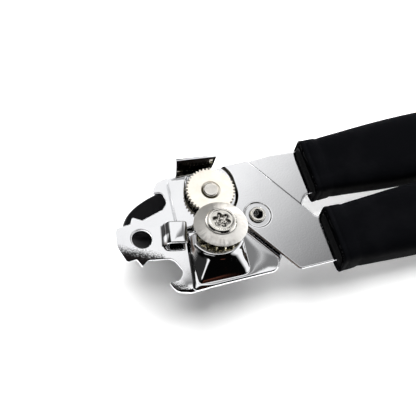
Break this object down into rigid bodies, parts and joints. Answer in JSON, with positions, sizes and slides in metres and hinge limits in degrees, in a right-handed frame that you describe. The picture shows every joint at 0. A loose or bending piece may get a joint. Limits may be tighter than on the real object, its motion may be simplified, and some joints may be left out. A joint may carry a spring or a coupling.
{
  "type": "manual can opener",
  "caption": "Hand-held can opener with two pivoted handles, a geared feed and cutter wheel, a thumb crank and a bottle-opener nose.",
  "frame": {"origin": "on the handle pivot's axis, at the underside of the upper handle plate", "axes": "+X along the closed handles towards the grips, +Y towards the upper handle, +Z out of the can side, with the crank knob on the -Z side"},
  "size_m": [0.2081, 0.0608, 0.0356],
  "materials": {
    "chrome_plate": "bright nickel-chrome plated steel sheet",
    "bright_steel": "polished plated steel",
    "spring_steel": "plain spring steel",
    "gear_steel": "stamped plated gear",
    "feed_steel": "satin hardened steel",
    "cutter_steel": "satin ground hardened steel",
    "soft_grip": "soft-touch black moulding",
    "hard_plastic": "black moulded plastic",
    "knob_plastic": "satin black moulded plastic"
  },
  "bodies": {
    "upper_handle": {"upper_handle_plate": "chrome_plate", "cutter_bracket": "chrome_plate", "upper_grip": "soft_grip", "upper_grip_core": "hard_plastic", "pivot_rivet": "bright_steel", "pivot_spacer": "bright_steel", "pivot_washer": "bright_steel", "cutter_stud": "bright_steel", "cutter_spring_washer": "spring_steel", "cutter_nut": "bright_steel"},
    "lower_handle": {"lower_handle_plate": "chrome_plate", "lower_grip": "soft_grip", "lower_grip_core": "hard_plastic", "shaft_bushing": "bright_steel"},
    "crank": {"crank_shaft": "bright_steel", "drive_gear": "gear_steel", "feed_wheel": "feed_steel", "crank_washer": "spring_steel", "crank_arm": "spring_steel", "crank_knob": "knob_plastic", "knob_cap": "hard_plastic"},
    "cutter": {"cutter_wheel": "cutter_steel", "cutter_gear": "gear_steel", "cutter_spacer": "gear_steel"}
  },
  "joints": [
    {"name": "handle_hinge", "type": "hinge", "parent": "upper_handle", "child": "lower_handle", "pos_m": [0, 0, 0], "axis": [0, 0, -1], "range_deg": [0, 38]},
    {"name": "crank_spin", "type": "hinge", "parent": "lower_handle", "child": "crank", "pos_m": [-0.0164, 0.0133, 0], "axis": [0, 0, 1], "continuous": true},
    {"name": "cutter_spin", "type": "hinge", "parent": "upper_handle", "child": "cutter", "pos_m": [-0.01809, -0.0039, 0.00673], "axis": [0.0186, 0.1899, 0.9816], "continuous": true}
  ],
  "couplings": [
    {"joint": "cutter_spin", "follows": "crank_spin", "ratio": -1}
  ]
}
